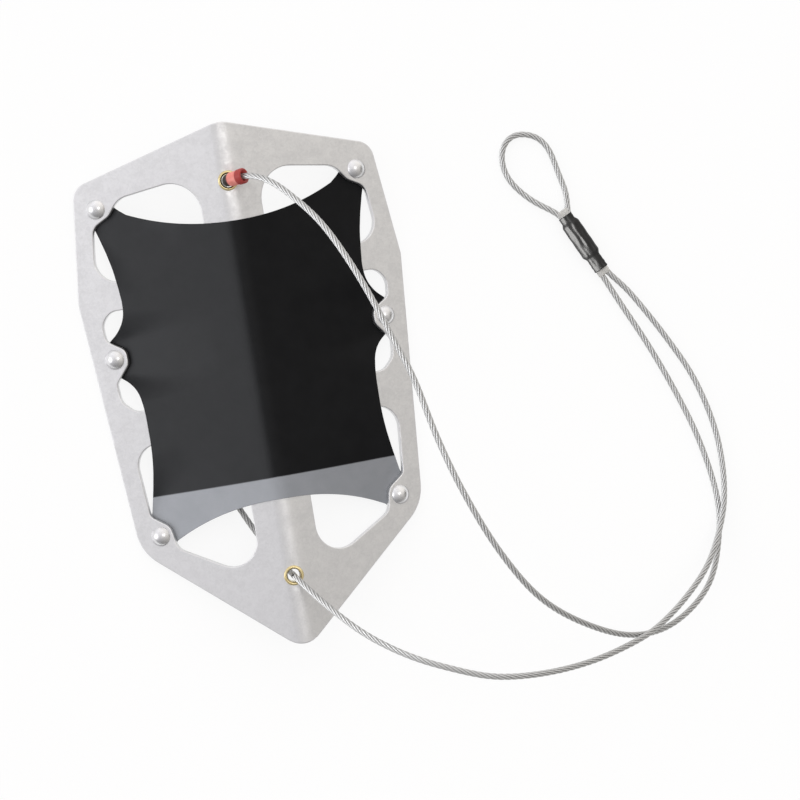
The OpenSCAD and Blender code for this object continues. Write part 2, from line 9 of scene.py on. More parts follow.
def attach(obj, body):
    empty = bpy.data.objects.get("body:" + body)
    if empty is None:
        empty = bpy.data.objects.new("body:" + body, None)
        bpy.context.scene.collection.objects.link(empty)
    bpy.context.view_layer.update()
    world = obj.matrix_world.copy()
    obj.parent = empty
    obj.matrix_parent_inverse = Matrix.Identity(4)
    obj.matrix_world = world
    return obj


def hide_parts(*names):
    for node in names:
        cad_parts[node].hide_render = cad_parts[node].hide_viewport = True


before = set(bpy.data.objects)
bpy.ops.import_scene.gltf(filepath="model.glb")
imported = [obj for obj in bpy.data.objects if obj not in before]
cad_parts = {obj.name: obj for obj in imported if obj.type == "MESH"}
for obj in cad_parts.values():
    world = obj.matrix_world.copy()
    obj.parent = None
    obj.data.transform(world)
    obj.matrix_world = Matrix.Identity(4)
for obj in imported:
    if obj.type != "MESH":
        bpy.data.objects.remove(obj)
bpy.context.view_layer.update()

MM = 0.001

# Camera. The photograph looks almost straight down on the anchor as it lies on a table,
# from about 1.1 m, a little to the left, with the crease leaning to the right at the bottom.
camera_right = (0.97851, -0.16289, 0.12643)
camera_up = (0.16763, 0.98546, -0.02774)
camera_back = (-0.12008, 0.04834, 0.99159)
camera_place = Vector((-60.31, 32.68, 1106.52)) * MM


def put_in_scene(name, data):
    """A new object with the given data, linked into the scene."""
    added = bpy.data.objects.new(name, data)
    bpy.context.scene.collection.objects.link(added)
    return added


camera_data = bpy.data.cameras.new("camera")
camera_data.sensor_width = 36
camera_data.lens = 93.15
camera_data.clip_start = 0.01
camera_data.clip_end = 50
camera = put_in_scene("camera", camera_data)
camera_turn = Matrix((camera_right, camera_up, camera_back)).transposed()
camera.matrix_world = Matrix.Translation(camera_place) @ camera_turn.to_4x4()
bpy.context.scene.camera = camera

# Wire rope. One length of 3.2 mm galvanised steel rope, six strands of wires laid round a core.
# It is stiff, so the two legs of the bridle stand up in arches between the plate and the table.
rope_d = 3.2 * MM
rope_lay = 21.5 * MM
wire_lay = 9 * MM
lay_step = 0.75 * MM
strand_count, wire_count = 6, 6
# Radii as parts of the rope's diameter: ring of strands, wires, grooves between wires, core.
ring_part, wire_part, groove_part, core_part = 3.0, 6.0, 6.2, 5.6
upper_route = [
    (1.6, 107.1, 38.5), (4.3, 107.3, 40.6), (9.5, 107.7, 44.6),
    (20, 102, 55.5), (30, 91, 64), (40, 77, 72), (49, 58, 79.5), (57, 37, 85),
    (65, 12, 89.5), (71, -7, 92), (77, -36, 94), (85, -64, 94), (100, -100, 89),
    (118, -128, 80), (142, -148, 65.5), (171, -162, 46), (196, -162, 31.5),
    (223, -147, 14.5), (236, -121, 3), (238, -104, 1.8), (233, -71, 1.8),
    (224, -42, 1.8), (212, -12, 2), (203, 7, 2.3), (196, 22, 2.8),
    (193.63, 26.97, 3.5), (183.62, 47.51, 3.5)]
lower_route = [
    (0.3, -101.3, 30.3), (3.2, -105, 34.4), (13, -117, 46), (28, -132.5, 57),
    (40.5, -142, 63.5), (53, -149.5, 68.5), (68, -156.5, 71.5), (87, -164, 73),
    (103, -167, 72.5), (124, -168.5, 68.5), (146, -168, 60.5), (167, -165, 51.5),
    (180, -162, 45), (192, -157, 38), (206, -149.5, 28.5), (222, -137.5, 18),
    (232, -124.5, 10.5), (241, -105, 4.5), (243.5, -72.5, 1.8), (236, -38, 1.8),
    (224.5, -13.5, 1.9), (214, 5, 2.1), (204, 20.5, 2.6),
    (196.69, 28.46, 3.5), (186.67, 49.0, 3.5)]
eye_route = [
    (183.57, 47.6, 3.5), (177.46, 60.14, 3.5), (174.6, 63.8, 3.2), (161, 74.3, 1.8),
    (151.3, 86.7, 1.8), (149.3, 97, 1.8), (152, 105.5, 1.8), (158, 109.5, 1.8), (164.5, 109, 1.8),
    (171, 106, 1.8), (175.6, 99.5, 1.8), (177.6, 92, 1.8), (179.2, 84, 1.8), (181.2, 75, 2),
    (180.6, 66.5, 3.2), (180.52, 61.63, 3.5), (186.63, 49.09, 3.5)]
back_route = [
    (-0.5, 106.9, 32.9), (-1.0, 106.6, 27), (-3.4, 103, 19.5), (-9, 93, 12), (-18, 76, 6),
    (-28, 48, 2.4), (-34, 14, 1.8), (-35, -16, 1.8), (-30, -43, 3.5), (-21.5, -63, 6.5),
    (-15, -77, 9), (-8, -89, 12), (-3, -97.5, 16), (0, -101, 21), (0, -101, 29)]


def smooth_route(points, soften):
    """Even millimetre steps along a smooth curve through the points, in metres."""
    span_steps = 24
    p = [Vector(q) for q in points]
    p = [2 * p[0] - p[1]] + p + [2 * p[-1] - p[-2]]
    dense = []
    for i in range(1, len(p) - 2):
        a, b, c, d = p[i - 1:i + 3]
        t1 = (a - b).length ** 0.5
        t2 = t1 + (b - c).length ** 0.5
        t3 = t2 + (c - d).length ** 0.5
        for k in range(span_steps):
            t = t1 + (t2 - t1) * k / span_steps
            e = a.lerp(b, t / t1)
            f = b.lerp(c, (t - t1) / (t2 - t1))
            g = c.lerp(d, (t - t2) / (t3 - t2))
            h = e.lerp(f, t / t2)
            j = f.lerp(g, (t - t1) / (t3 - t1))
            dense.append(h.lerp(j, (t - t1) / (t2 - t1)))
    dense.append(p[-2])
    along = [0.0]
    for a, b in zip(dense, dense[1:]):
        along.append(along[-1] + (b - a).length)
    count = max(8, round(along[-1]))
    even, k = [], 0
    for i in range(count + 1):
        s = along[-1] * i / count
        while k < len(dense) - 2 and along[k + 1] < s:
            k += 1
        span = max(along[k + 1] - along[k], 1e-9)
        even.append(dense[k].lerp(dense[k + 1], min(1, (s - along[k]) / span)))
    out = []
    for i in range(len(even)):
        reach = min(soften, i, len(even) - 1 - i)
        near = even[i - reach:i + reach + 1]
        out.append(sum(near, Vector()) / len(near))
    return [q * MM for q in out]


def set_inputs(tree, node, inputs):
    """Sets a node's inputs by name or position; the output of another node is linked."""
    for key, value in inputs.items():
        if isinstance(value, bpy.types.NodeSocket):
            tree.links.new(value, node.inputs[key])
        else:
            node.inputs[key].default_value = value


def add_node(tree, kind, inputs=None, **values):
    """A node with its properties and inputs set."""
    node = tree.nodes.new(kind)
    for key, value in values.items():
        setattr(node, key, value)
    set_inputs(tree, node, inputs or {})
    return node


def add_sockets(tree, way, *sockets):
    """Sockets of a node group, each as its name, kind and, where it has one, its value."""
    for name, kind, *value in sockets:
        made = tree.interface.new_socket(name, in_out=way, socket_type="NodeSocket" + kind)
        if value:
            made.default_value = value[0]


def maths(tree, operation, *values):
    return add_node(tree, "ShaderNodeMath", dict(enumerate(values)), operation=operation).outputs[0]


def vector_maths(tree, operation, inputs):
    node = add_node(tree, "ShaderNodeVectorMath", inputs, operation=operation)
    return node.outputs["Value" if operation in ("LENGTH", "DOT_PRODUCT") else "Vector"]


# The strands follow the route in a helix. Each is a bundle of six wires, which twist the other way.
rope_tree = bpy.data.node_groups.new("laid_rope", "GeometryNodeTree")
add_sockets(rope_tree, "INPUT", ("Route", "Geometry"), ("Rope diameter", "Float", rope_d),
            ("Lay length", "Float", rope_lay), ("Wire lay", "Float", wire_lay),
            ("Step", "Float", lay_step), ("Strands", "Int", strand_count), ("Finish", "Material"))
add_sockets(rope_tree, "OUTPUT", ("Rope", "Geometry"))
given = add_node(rope_tree, "NodeGroupInput").outputs


def rope_node(kind, inputs=None, **values):
    return add_node(rope_tree, kind, inputs, **values).outputs[0]


def rope_store(geometry, kind, name, value):
    return rope_node("GeometryNodeStoreNamedAttribute",
                     {"Geometry": geometry, "Name": name, "Value": value}, data_type=kind, domain="POINT")


def rope_read(kind, name):
    return rope_node("GeometryNodeInputNamedAttribute", {"Name": name}, data_type=kind)


def rope_share(part):
    return maths(rope_tree, "DIVIDE", given["Rope diameter"], part)


line = rope_node("GeometryNodeMeshToCurve", {"Mesh": given["Route"]})
line = rope_node("GeometryNodeResampleCurve", {"Curve": line, "Length": given["Step"]}, mode="LENGTH")
for kind, name, source, output in (
        ("FLOAT_VECTOR", "axis", "GeometryNodeInputPosition", 0),
        ("FLOAT_VECTOR", "side", "GeometryNodeInputNormal", 0),
        ("FLOAT_VECTOR", "ahead", "GeometryNodeInputTangent", 0),
        ("FLOAT", "along", "GeometryNodeSplineParameter", "Length")):
    line = rope_store(line, kind, name, add_node(rope_tree, source).outputs[output])
copies = add_node(rope_tree, "GeometryNodeDuplicateElements",
                  {"Geometry": line, "Amount": given["Strands"]}, domain="SPLINE").outputs
share = maths(rope_tree, "DIVIDE", copies["Duplicate Index"], given["Strands"])
laid = maths(rope_tree, "DIVIDE", rope_read("FLOAT", "along"), given["Lay length"])
angle = maths(rope_tree, "MULTIPLY", maths(rope_tree, "ADD", share, laid), math.tau)
side = rope_read("FLOAT_VECTOR", "side")
across = vector_maths(rope_tree, "CROSS_PRODUCT", {0: rope_read("FLOAT_VECTOR", "ahead"), 1: side})
offsets = []
for direction, wave in ((side, "COSINE"), (across, "SINE")):
    reach = maths(rope_tree, "MULTIPLY", maths(rope_tree, wave, angle), rope_share(ring_part))
    offsets.append(vector_maths(rope_tree, "SCALE", {0: direction, "Scale": reach}))
strands = rope_node("GeometryNodeSetPosition", {
    "Geometry": copies["Geometry"], "Offset": vector_maths(rope_tree, "ADD", dict(enumerate(offsets)))})
twist = maths(rope_tree, "DIVIDE", rope_read("FLOAT", "along"), given["Wire lay"])
strands = rope_node("GeometryNodeSetCurveTilt", {
    "Curve": strands, "Tilt": maths(rope_tree, "MULTIPLY", twist, -math.tau)})
wires = rope_node("GeometryNodeCurveStar", {
    "Points": wire_count, "Inner Radius": rope_share(groove_part), "Outer Radius": rope_share(wire_part)})
strands = rope_node("GeometryNodeCurveToMesh", {
    "Curve": strands, "Profile Curve": wires, "Fill Caps": True})
off_axis = vector_maths(rope_tree, "SUBTRACT", {
    0: rope_node("GeometryNodeInputPosition"), 1: rope_read("FLOAT_VECTOR", "axis")})
rope_r = maths(rope_tree, "MULTIPLY", given["Rope diameter"], 0.5)
outward = maths(rope_tree, "DIVIDE", vector_maths(rope_tree, "LENGTH", {0: off_axis}), rope_r)
strands = rope_store(strands, "FLOAT", "outward", outward)
core_ring = rope_node("GeometryNodeCurvePrimitiveCircle", {
    "Resolution": 8, "Radius": rope_share(core_part)})
core = rope_node("GeometryNodeCurveToMesh", {
    "Curve": line, "Profile Curve": core_ring, "Fill Caps": True})
joined = add_node(rope_tree, "GeometryNodeJoinGeometry")
for part in (core, strands):
    rope_tree.links.new(part, joined.inputs[0])
whole = rope_node("GeometryNodeSetShadeSmooth", {"Geometry": joined.outputs[0]})
whole = rope_node("GeometryNodeRealizeInstances", {"Geometry": whole})
whole = rope_node("GeometryNodeSetMaterial", {"Geometry": whole, "Material": given["Finish"]})
add_node(rope_tree, "NodeGroupOutput", {0: whole})


def plain_material(name):
    """A new material, its node tree and its shader."""
    material = bpy.data.materials.new(name)
    material.use_nodes = True
    return material, material.node_tree, material.node_tree.nodes["Principled BSDF"]


def stored(tree, name):
    """A value that the mesh carries."""
    return add_node(tree, "ShaderNodeAttribute", attribute_name=name).outputs["Fac"]


def noise(tree, scale, detail, roughness, at=None, **more):
    """Cloudy noise, in the piece's own coordinates unless others are given."""
    if at is None:
        at = add_node(tree, "ShaderNodeTexCoord").outputs["Object"]
    return add_node(tree, "ShaderNodeTexNoise", {
        "Vector": at, "Scale": scale, "Detail": detail, "Roughness": roughness, **more}).outputs["Fac"]


def ramp(tree, value, first, *rest):
    """A colour for a value, from stops of (position, colour)."""
    node = add_node(tree, "ShaderNodeValToRGB", {"Fac": value})
    steps = node.color_ramp.elements
    for step, (position, colour) in ((steps[0], first), (steps[1], rest[-1])):
        step.position = position
        step.color = (*colour, 1)
    for position, colour in rest[:-1]:
        steps.new(position).color = (*colour, 1)
    return node.outputs["Color"]


# Galvanised wire: dull bright grey on top of the strands, darker toward the rope's core, which is painted
# shade where the strands meet.
rope_steel, tree, shader = plain_material("rope_steel")
speck = maths(tree, "MULTIPLY_ADD", noise(tree, 900.0, 3.0, 0.6), 0.18, -0.09)
# The darkening toward the core is painted shade in the grooves between strands, not a colour of the wire.
lit = maths(tree, "ADD", stored(tree, "outward"), speck)
tint = ramp(tree, lit, (0.45, (0.085, 0.085, 0.083)), (0.74, (0.38, 0.38, 0.375)),
            (0.98, (0.55, 0.55, 0.542)))
set_inputs(tree, shader, {"Base Color": tint, "Metallic": 0.7, "Roughness": 0.5})


def keep_result(piece, tree, **settings):
    """Runs a node tree on a piece, its inputs set by name, and keeps the result as a plain mesh."""
    start = piece.data
    step = piece.modifiers.new(tree.name, "NODES")
    step.node_group = tree
    for item in tree.interface.items_tree:
        if item.in_out == "INPUT" and item.name in settings:
            step[item.identifier] = settings[item.name]
    seen = piece.evaluated_get(bpy.context.evaluated_depsgraph_get())
    piece.data = bpy.data.meshes.new_from_object(seen)
    piece.data.name = piece.name
    piece.modifiers.remove(step)
    bpy.data.meshes.remove(start)


def lay_rope(name, route):
    """A rope along a route, as a plain mesh that stands in its own place."""
    mesh = bpy.data.meshes.new(name)
    mesh.from_pydata(route, [(i, i + 1) for i in range(len(route) - 1)], [])
    rope = put_in_scene(name, mesh)
    keep_result(rope, rope_tree, Finish=rope_steel)
    return rope


upper_line = smooth_route(upper_route, 7)
upper_leg = lay_rope("wire_upper_leg", upper_line)
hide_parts("cable_upper_leg")
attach(upper_leg, "bridle")

lower_line = smooth_route(lower_route, 7)
lower_leg = lay_rope("wire_lower_leg", lower_line)
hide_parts("cable_lower_leg")
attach(lower_leg, "bridle")

eye_line = smooth_route(eye_route, 4)
eye_loop = lay_rope("wire_eye", eye_line)
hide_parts("cable_eye")
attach(eye_loop, "bridle")

back_line = smooth_route(back_route, 5)
back_run = lay_rope("wire_back_run", back_line)
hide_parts("cable_back_run")
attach(back_run, "fluke")

# Fluke plate. Cut from 3 mm aluminium sheet, tumbled so that its edges are soft, then folded
# along the crease to a shallow roof. Three windows lighten each half, and tabs reach into them.
plate_t = 3.0
plate_soft = 0.55
fold = math.radians(20)
bend_r = 15.0
flat_bend = 5.46
peak_y, tail_y = 138, -141.5
shoulder_u, shoulder_y = 84.7, 116.4
kink_u, kink_y = 92.5, 55.8
foot_u, foot_y = 81.4, -78.7
rail_w = 10.2
spine_half = 17.0
tab_r = 7.0
upper_low, middle_top, middle_low, lower_top = 64.7, 49.7, -4.2, -22.8
corner_cut = 6
grommet_places = (107.0, -101.0)
grommet_hole_r = 3.85
pressed_depth, pressed_in, pressed_out = 0.2, 5.6, 9.0


def mirrored(corners):
    return [(-u, y, r) for u, y, r in corners]


def side_u(y):
    """How far the plate's side lies from the crease, measured along its face."""
    end_u, end_y = (shoulder_u, shoulder_y) if y > kink_y else (foot_u, foot_y)
    return kink_u - (kink_u - end_u) * (y - kink_y) / (end_y - kink_y)


def on_rail(y, r, back=0):
    """A window's corner on the inner edge of the side rail."""
    return side_u(y) - rail_w - back, y, r


right_side = [(shoulder_u, shoulder_y, 10), (kink_u, kink_y, 6), (foot_u, foot_y, 24)]
outline = [(0, peak_y, 20), *right_side, (0, tail_y, 15), *mirrored(right_side[::-1])]
tab_upper, tab_middle, tab_lower = [
    (side_u(y) - reach, y) for reach, y in ((12.3, 103.7), (12.4, 24.5), (13.0, -71.5))]
(au, ay), (mu, my), (lu, ly) = tab_upper, tab_middle, tab_lower
half_windows = [
    [(spine_half, 112.6, 17), (au - tab_r * 1.85, ay + tab_r * 0.5, 12),
     (au - tab_r * 0.88, ay - tab_r * 0.68, tab_r), on_rail(ay - tab_r * 1.35, tab_r),
     on_rail(upper_low, 12), (spine_half, upper_low, 12)],
    [(spine_half, middle_top, 12), on_rail(middle_top, 8, corner_cut), on_rail(middle_top - corner_cut, 8),
     on_rail(my + tab_r * 1.43, tab_r * 0.6), (mu - tab_r, my + tab_r * 0.6, tab_r * 0.75),
     (mu - tab_r, my - tab_r * 0.5, tab_r * 0.75), on_rail(my - tab_r * 1.86, tab_r * 0.6),
     on_rail(middle_low + corner_cut, 8), on_rail(middle_low, 8, corner_cut), (spine_half, middle_low, 12)],
    [(spine_half, lower_top, 12), on_rail(lower_top, 12), on_rail(ly + tab_r * 1.57, tab_r * 0.6),
     (lu - tab_r * 0.89, ly + tab_r * 0.64, tab_r), (lu - tab_r * 1.2, ly - tab_r * 1.1, tab_r),
     (spine_half, -101.3, 14)]]


def rounded(corners, step=1.2):
    """A closed outline with its corners rounded and its long sides divided."""
    most_of_side = 0.48
    n, loop = len(corners), []
    for i in range(n):
        p = Vector(corners[i][:2])
        d1 = Vector(corners[i - 1][:2]) - p
        d2 = Vector(corners[(i + 1) % n][:2]) - p
        room = most_of_side * min(d1.length, d2.length)
        d1.normalize()
        d2.normalize()
        if corners[i][2] == 0:
            loop.append(p)
            continue
        half = math.acos(max(-1, min(1, d1.dot(d2)))) / 2
        run = min(corners[i][2] / math.tan(half), room)
        r = run * math.tan(half)
        middle_point = p + (d1 + d2).normalized() * (r / math.sin(half))
        first = p + d1 * run - middle_point
        turn = math.pi - 2 * half
        way = -1 if first.x * d1.y - first.y * d1.x > 0 else 1
        parts = max(3, math.ceil(turn * r / step))
        for k in range(parts + 1):
            s = way * turn * k / parts
            loop.append(middle_point + Vector((first.x * math.cos(s) - first.y * math.sin(s),
                                               first.x * math.sin(s) + first.y * math.cos(s))))
    full = []
    for i, a in enumerate(loop):
        b = loop[(i + 1) % len(loop)]
        parts = max(1, round((b - a).length / (3 * step)))
        full += [a.lerp(b, k / parts) for k in range(parts)]
    return full


# The plate is pitched so that both kinks and both feet touch the floor.
plate_pitch = math.atan((kink_u - foot_u) * math.sin(fold) / (kink_y - foot_y))
plate_lift = ((kink_u * math.sin(fold) + plate_t * math.cos(fold)) * math.cos(plate_pitch)
              - kink_y * math.sin(plate_pitch))
bend_centre = -bend_r / math.cos(fold)
ridge = bend_centre + bend_r


def set_down(x, y, z):
    """A point of the plate's own frame, set down on the floor, in metres."""
    c, s = math.cos(plate_pitch), math.sin(plate_pitch)
    return Vector((x, y * c - z * s, y * s + z * c + plate_lift)) * MM


def folded(u, y, n, seat=None):
    """A point of the flat sheet, n above its front face, after folding; seat presses it flat."""
    if abs(u) >= flat_bend:
        x = math.copysign(abs(u) * math.cos(fold) + n * math.sin(fold), u)
        z = -abs(u) * math.sin(fold) + n * math.cos(fold)
    else:
        a = fold * u / flat_bend
        x = (bend_r + n) * math.sin(a)
        z = bend_centre + (bend_r + n) * math.cos(a)
    if seat is not None:
        z = seat(x, y, z, n)
    return set_down(x, y, z)


def inside(loop, p):
    """Whether a point lies inside a closed loop."""
    hit = False
    for a, b in zip(loop, loop[1:] + loop[:1]):
        if (a.y > p.y) != (b.y > p.y) and p.x < a.x + (b.x - a.x) * (p.y - a.y) / (b.y - a.y):
            hit = not hit
    return hit


def drawn_in(loop, by):
    """The loop moved sideways by a small amount, to the left of its direction."""
    out, n = [], len(loop)
    for i in range(n):
        d = (loop[(i + 1) % n] - loop[i - 1]).normalized()
        out.append(loop[i] + Vector((-d.y, d.x)) * by)
    return out


def area_of(loop):
    return sum(a.x * b.y - b.x * a.y for a, b in zip(loop, loop[1:] + loop[:1])) / 2


def circle(u, y, r, n):
    angles = [math.tau * k / n for k in range(n)]
    return [Vector((u + r * math.cos(a), y + r * math.sin(a))) for a in angles]


def finished(mesh, name):
    """The data of a built mesh, with all faces turned outward."""
    bmesh.ops.recalc_face_normals(mesh, faces=mesh.faces)
    data = bpy.data.meshes.new(name)
    mesh.to_mesh(data)
    mesh.free()
    return data


def sheet_piece(name, outer, holes, extra, thick, soft, lift, seat=None):
    """A sheet with rounded edges, cut to its outline in the flat and folded along the crease.
    lift gives the height of its front face over the plate's for a flat point."""
    margin, uv_unit, quarter_steps = 0.8, 100, 3
    loops = [outer if area_of(outer) > 0 else outer[::-1]]
    loops += [h if area_of(h) < 0 else h[::-1] for h in holes]
    inner = [drawn_in(loop, soft) for loop in loops]
    flat, ties = [], []
    for loop in inner:
        base = len(flat)
        flat += loop
        ties += [(base + k, base + (k + 1) % len(loop)) for k in range(len(loop))]
    rim_count = len(flat)
    for p in extra:
        if inside(loops[0], p) and not any(inside(h, p) for h in loops[1:]):
            if min((p - q).length for q in flat[:rim_count]) > margin:
                flat.append(p)
    points, _, faces, _, _, _ = delaunay_2d_cdt(flat, ties, [], 0, 1e-6)
    kept = []
    for f in faces:
        c = (points[f[0]] + points[f[1]] + points[f[2]]) / 3
        if inside(inner[0], c) and not any(inside(h, c) for h in inner[1:]):
            kept.append(f if area_of([points[k] for k in f]) > 0 else f[::-1])
    mesh = bmesh.new()
    edge_wear_and_highlight_layer = mesh.verts.layers.float.new("edge")
    flat_uv = mesh.loops.layers.uv.new("flat")
    place = {}

    def vertex(p, n, edge_wear_and_highlight):
        v = mesh.verts.new(folded(p.x, p.y, lift(p) + n, seat))
        v[edge_wear_and_highlight_layer] = edge_wear_and_highlight
        place[v] = p
        return v

    used = {k for f in kept for k in f}
    front = {k: vertex(points[k], 0, 0) for k in used}
    back = {k: vertex(points[k], -thick, 0) for k in used}
    for f in kept:
        mesh.faces.new([front[k] for k in f])
        mesh.faces.new([back[k] for k in reversed(f)])
    quarter = [math.pi / 2 * k / quarter_steps for k in range(quarter_steps + 1)]
    edge_rows = [(math.sin(a), -soft * (1 - math.cos(a))) for a in quarter[1:]]
    edge_rows += [(math.cos(a), -thick + soft * (1 - math.sin(a))) for a in quarter[:-1]]
    base = 0
    for loop, edge in zip(loops, inner):
        rings = [[front[base + k] for k in range(len(loop))]]
        for out, n in edge_rows:
            rings.append([vertex(edge[k].lerp(loop[k], out), n, out) for k in range(len(loop))])
        rings.append([back[base + k] for k in range(len(loop))])
        for upper_ring, lower_ring in zip(rings, rings[1:]):
            for k in range(len(loop)):
                j = (k + 1) % len(loop)
                mesh.faces.new([upper_ring[k], lower_ring[k], lower_ring[j], upper_ring[j]])
        base += len(loop)
    for f in mesh.faces:
        f.smooth = True
        for corner in f.loops:
            corner[flat_uv].uv = place[corner.vert] / uv_unit
    rims = {v for ring in (front, back) for k, v in ring.items() if k < rim_count}
    for e in mesh.edges:
        e.smooth = not (e.verts[0] in rims and e.verts[1] in rims)
    return put_in_scene(name, finished(mesh, name))


def eased(t):
    """A smooth step from 0 to 1."""
    t = min(1, max(0, t))
    return t * t * (3 - 2 * t)


def pressed_seat(x, y, z, n):
    """The front of the ridge is pressed flat in a ring round each grommet."""
    if n > -plate_t / 2:
        for gy in grommet_places:
            r = math.hypot(x, y - gy)
            if r < pressed_out:
                low = min(z, ridge - pressed_depth + n)
                return low + (z - low) * eased((r - pressed_in) / (pressed_out - pressed_in))
    return z


plate_holes = [rounded(w) for w in half_windows]
plate_holes += [rounded(mirrored(w)) for w in half_windows]
plate_holes += [circle(0, gy, grommet_hole_r, 40) for gy in grommet_places]
bend_points = [Vector((flat_bend * k / 5, y)) for k in range(-5, 6) for y in range(-136, 137, 4)]
seat_rings = (4.8, 5.7, 6.8, 7.9, 9.0)
bend_points += [q for gy in grommet_places for r in seat_rings for q in circle(0, gy, r, 36)]
flat_points = [Vector((8.0 * i, 8.0 * k)) for i in range(-11, 12) for k in range(-17, 18) if i]
plate = sheet_piece("plate", rounded(outline), plate_holes, bend_points + flat_points, plate_t, plate_soft,
                    lambda p: 0.0, pressed_seat)

# Tumbled aluminium: a cloudy, scuffed satin grey. The same cloud of light and dark patches is
# used for every plain metal piece.
cloud_group = bpy.data.node_groups.new("tumbled_cloud", "ShaderNodeTree")
add_sockets(cloud_group, "INPUT", ("Patch size", "Float", 60), ("Scuffs", "Float", 0))
add_sockets(cloud_group, "OUTPUT", ("Cloud", "Float"), ("Grain", "Float"))
cloud_in = add_node(cloud_group, "NodeGroupInput").outputs
patches = noise(cloud_group, cloud_in["Patch size"], 6.0, 0.62)
grain = noise(cloud_group, 1100.0, 2.0, 0.5)
scuffs = maths(cloud_group, "SUBTRACT", noise(cloud_group, 520.0, 3.0, 0.6, Distortion=0.9), 0.5)
scuffed = maths(cloud_group, "MULTIPLY_ADD", scuffs, cloud_in["Scuffs"], patches)
add_node(cloud_group, "NodeGroupOutput", {0: scuffed, 1: grain})


def stretch(tree, value, start, end=(0, 1), **more):
    """A value carried over from one range to another."""
    return add_node(tree, "ShaderNodeMapRange", {
        "Value": value, "From Min": start[0], "From Max": start[1],
        "To Min": end[0], "To Max": end[1]}, **more).outputs["Result"]


def mix_colours(tree, share, a, b):
    """Colour a with a share of colour b; the node's colour sockets come after its other kinds."""
    return add_node(tree, "ShaderNodeMix", {0: share, 6: a, 7: b}, data_type="RGBA").outputs[2]


def dents(tree, height, distance, strength):
    return add_node(tree, "ShaderNodeBump", {
        "Height": height, "Distance": distance, "Strength": strength}).outputs["Normal"]


def tumbled_metal(name, dark, light, rough, patch, edge_wear_and_highlight=None, bump=0.06, scuffs=0.0):
    """A metal whose colour wanders between two tones in cloudy patches; the edges' colour, where given, is
    for worn edges and partly a painted highlight along them.
    """
    low, high, sway = 0.3, 0.7, 0.06
    material, tree, shader = plain_material(name)
    cloud = add_node(tree, "ShaderNodeGroup", node_tree=cloud_group)
    set_inputs(tree, cloud, {"Patch size": patch, "Scuffs": scuffs})
    patches, grain = cloud.outputs["Cloud"], cloud.outputs["Grain"]
    colour = ramp(tree, patches, (low, dark), (high, light))
    if edge_wear_and_highlight:
        # The edges' colour is partly wear and partly a painted highlight along the rounded edges.
        colour = mix_colours(tree, stored(tree, "edge"), colour, (*edge_wear_and_highlight, 1))
    set_inputs(tree, shader, {
        "Base Color": colour, "Metallic": 1.0, "Normal": dents(tree, grain, 0.0002, bump),
        "Roughness": stretch(tree, patches, (low, high), (rough + sway, rough - sway))})
    return material


# The plate's edges are a little lighter: partly wear, partly a painted highlight on the rounded edges.
plate_aluminium = tumbled_metal("plate_aluminium", (0.715, 0.715, 0.72), (0.795, 0.795, 0.80), 0.42,
                                patch=150.0, edge_wear_and_highlight=(0.78, 0.78, 0.785), bump=0.10, scuffs=0.9)
plate.data.materials.append(plate_aluminium)
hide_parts("fluke_plate")
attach(plate, "fluke")

# Deck panel. A single sheet of black rubber-coated cloth, 0.8 mm thick, with hollow edges.
# It is stretched over the spine and ribs, and its corners are pulled down behind the tabs.
panel_t = 0.8
panel_soft = 0.22
gap, gap_behind = 0.05, 0.06
top_r, top_y, low_r, low_y = 148.0, 86.3, 131.0, -60.2
top_end, low_end = au - 15, lu - 8
arc_steps = 40
# For each tab: the way in which the panel rises from it, in degrees, half the width that is held
# level, and how far the panel takes to rise along that way and across it.
held_length = 8
drops = ((tab_upper, 227.8, 10.9, 40, 21), (tab_middle, 180, 9.6, 48, 15), (tab_lower, 146.2, 12.9, 42, 24))

# The outline of one half, from the top of the crease round the three tabs to its bottom.
half_edge = []
for i in range(arc_steps + 1):
    u = top_end * i / arc_steps
    half_edge.append((u, top_y + top_r - math.sqrt(top_r ** 2 - u * u), 0))
half_edge += [
    (au - 9.9, ay - 1.4, 12), (au - 5.9, ay + 4, 0), (au - 3.5, ay + 6, 3), (au + 6, ay - 1.5, 4),
    (au + 3.4, ay - 10.6, 0), (73.0, 80.6, 60), (70.3, 71, 60), (68.6, 60.5, 60), (67.9, 53, 40),
    (68.4, 47.4, 30), (70.5, 42.7, 30), (74.3, 38, 30), (mu + 3, my + 8.9, 0), (mu + 6, my + 5.5, 3),
    (mu + 6, my - 5.5, 3), (mu + 4.8, my - 7.1, 0), (mu, my - 9.7, 20), (72.2, 11.2, 20),
    (69.0, 7.6, 20), (67.0, 3.6, 20), (65.9, -1.5, 30), (65.5, -8, 60), (65.4, -20, 60),
    (65.7, -28.5, 60), (67.0, -37, 60), (69.0, -45.8, 60), (lu + 3.4, ly + 13, 0),
    (lu + 6.5, ly + 4, 4), (lu + 1.5, ly - 7, 4), (lu - 5.5, ly - 6.5, 3)]
for i in range(arc_steps, -1, -1):
    u = low_end * i / arc_steps
    half_edge.append((u, low_y - low_r + math.sqrt(low_r ** 2 - u * u), 0))
panel_outer = rounded(half_edge + mirrored(half_edge[-2:0:-1]))


def panel_height(p):
    """Front face of the panel over the plate's: level over the ribs, pulled down behind the tabs."""
    high, low = gap + panel_t, -plate_t - gap_behind
    height = high
    for (u, y), way, half_wide, run_a, run_b in drops:
        c, s = math.cos(math.radians(way)), math.sin(math.radians(way))
        a = (abs(p.x) - u) * c + (p.y - y) * s
        b = -(abs(p.x) - u) * s + (p.y - y) * c
        t = min(1, math.hypot(max(0, a - held_length) / run_a, max(0, abs(b) - half_wide) / run_b))
        height = min(height, low + (high - low) * t * (1.5 - 0.5 * t))
    return height


grid = 2.6
panel_points = [Vector((grid * i, grid * k + grid / 2 * (i % 2)))
                for i in range(-32, 33) for k in range(-31, 44)]
panel = sheet_piece("panel", panel_outer, [], panel_points, panel_t, panel_soft, panel_height)

